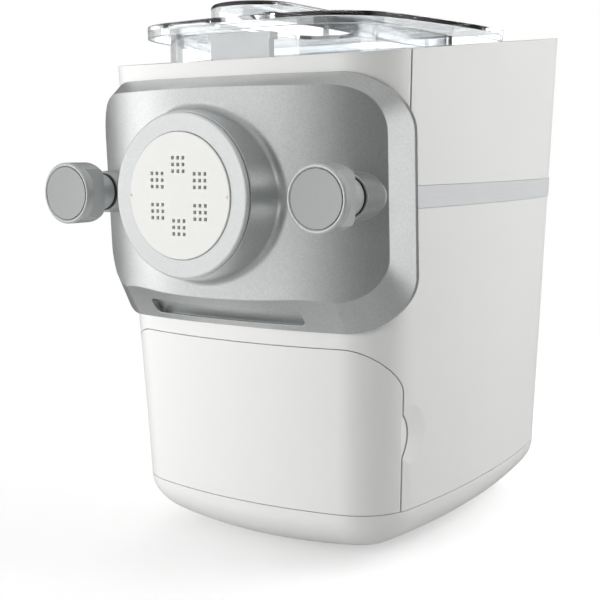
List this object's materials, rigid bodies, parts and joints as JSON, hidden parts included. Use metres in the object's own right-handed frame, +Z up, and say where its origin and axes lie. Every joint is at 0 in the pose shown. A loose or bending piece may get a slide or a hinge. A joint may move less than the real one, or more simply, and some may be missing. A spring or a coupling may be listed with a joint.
{
  "type": "electric pasta maker",
  "caption": "Countertop electric pasta maker: white housing, silver front panel with round extrusion nozzle, two clamp knobs, clear lid and a pull-out drawer.",
  "frame": {"origin": "centre of the outer box on the floor, under the feet", "axes": "+Z up, -Y out of the nozzle at the front, +X to the right seen from behind"},
  "size_m": [0.2168, 0.3106, 0.317],
  "materials": {
    "white_shell": "satin",
    "drawer_white": "satin",
    "band_silver": "satin",
    "panel_silver": "satin",
    "ring_grey": "matte",
    "disc_white": "matte",
    "knob_light": "satin",
    "knob_face": "satin",
    "steel": "brushed",
    "dark_rubber": "matte",
    "seal_grey": "matte",
    "clear": "gloss",
    "inner_grey": "matte",
    "deck_white": "satin",
    "glass_black": "gloss",
    "button_grey": "satin",
    "board_green": "matte",
    "gear_white": "matte",
    "paddle_white": "satin",
    "motor_steel": "satin",
    "copper_winding": "satin"
  },
  "bodies": {
    "housing": {"side_wrap": "white_shell", "front_fascia": "white_shell", "base_pan": "white_shell", "band_trim": "band_silver", "foot_pads": "dark_rubber", "base_screws": "steel", "bay_frame": "inner_grey", "bulkhead": "inner_grey", "top_deck": "deck_white", "control_panel": "deck_white", "display_window": "glass_black", "control_board": "board_green", "mixing_tub": "clear", "latch_bracket": "deck_white", "shaft_seal": "seal_grey", "gear_case": "inner_grey", "case_cover": "inner_grey", "case_screws": "steel", "output_bush": "steel", "idler_pin": "steel", "motor_mount": "motor_steel", "motor_can": "motor_steel", "motor_stator": "copper_winding", "power_board": "board_green", "board_screws": "steel", "cord_grommet": "dark_rubber", "clamp_sockets": "steel"},
    "drawer": {"drawer_front": "drawer_white", "drawer_tray": "inner_grey", "drawer_screws": "steel"},
    "lid": {"lid_cover": "clear"},
    "panel": {"front_panel": "panel_silver", "extruder_tube": "steel", "panel_plate": "deck_white", "panel_screws": "steel", "panel_seal": "seal_grey", "shaping_disc": "disc_white"},
    "ring": {"retaining_ring": "ring_grey"},
    "knob_left": {"knob_left_grip": "knob_light", "knob_left_insert": "knob_face", "knob_left_rod": "steel", "knob_left_washer": "dark_rubber"},
    "knob_right": {"knob_right_grip": "knob_light", "knob_right_insert": "knob_face", "knob_right_rod": "steel", "knob_right_washer": "dark_rubber"},
    "mixer": {"mixing_paddle": "paddle_white", "auger": "paddle_white", "drive_shaft": "steel", "output_gear": "gear_white"},
    "idler": {"idler_gear": "gear_white"},
    "rotor": {"motor_shaft": "steel", "motor_pinion": "steel", "rotor_core": "motor_steel", "cooling_fan": "dark_rubber"},
    "key_power": {"button_power": "button_grey"},
    "key_less": {"button_less": "button_grey"},
    "key_more": {"button_more": "button_grey"},
    "key_start": {"button_start": "button_grey"}
  },
  "joints": [
    {"name": "drawer_slide", "type": "slide", "parent": "housing", "child": "drawer", "axis": [0, -1, 0], "range_m": [0, 0.11]},
    {"name": "lid_lift", "type": "slide", "parent": "housing", "child": "lid", "axis": [0, 0, 1], "range_m": [0, 0.06]},
    {"name": "panel_pull", "type": "slide", "parent": "housing", "child": "panel", "axis": [0, -1, 0], "range_m": [0, 0.06]},
    {"name": "ring_turn", "type": "hinge", "parent": "panel", "child": "ring", "pos_m": [0, -0.1553, 0.212], "axis": [0, -1, 0], "range_deg": [0, 60]},
    {"name": "knob_left_turn", "type": "hinge", "parent": "panel", "child": "knob_left", "pos_m": [-0.0838, -0.1553, 0.212], "axis": [0, -1, 0], "range_deg": [0, 90]},
    {"name": "knob_right_turn", "type": "hinge", "parent": "panel", "child": "knob_right", "pos_m": [0.0838, -0.1553, 0.212], "axis": [0, -1, 0], "range_deg": [0, 90]},
    {"name": "mixer_spin", "type": "hinge", "parent": "housing", "child": "mixer", "pos_m": [0, 0, 0.212], "axis": [0, 1, 0], "continuous": true},
    {"name": "idler_spin", "type": "hinge", "parent": "housing", "child": "idler", "pos_m": [0, 0, 0.152], "axis": [0, 1, 0], "continuous": true},
    {"name": "rotor_spin", "type": "hinge", "parent": "housing", "child": "rotor", "pos_m": [0, 0, 0.107], "axis": [0, 1, 0], "continuous": true},
    {"name": "power_press", "type": "slide", "parent": "housing", "child": "key_power", "axis": [0, 0.1054, -0.9944], "range_m": [0, 0.0012], "stiffness_N_per_m": 400, "springref_m": -0.0004},
    {"name": "less_press", "type": "slide", "parent": "housing", "child": "key_less", "axis": [0, 0.1054, -0.9944], "range_m": [0, 0.0012], "stiffness_N_per_m": 400, "springref_m": -0.0004},
    {"name": "more_press", "type": "slide", "parent": "housing", "child": "key_more", "axis": [0, 0.1054, -0.9944], "range_m": [0, 0.0012], "stiffness_N_per_m": 400, "springref_m": -0.0004},
    {"name": "start_press", "type": "slide", "parent": "housing", "child": "key_start", "axis": [0, 0.1054, -0.9944], "range_m": [0, 0.0012], "stiffness_N_per_m": 400, "springref_m": -0.0004}
  ],
  "couplings": [
    {"joint": "idler_spin", "follows": "mixer_spin", "ratio": -4},
    {"joint": "rotor_spin", "follows": "mixer_spin", "ratio": 16}
  ]
}
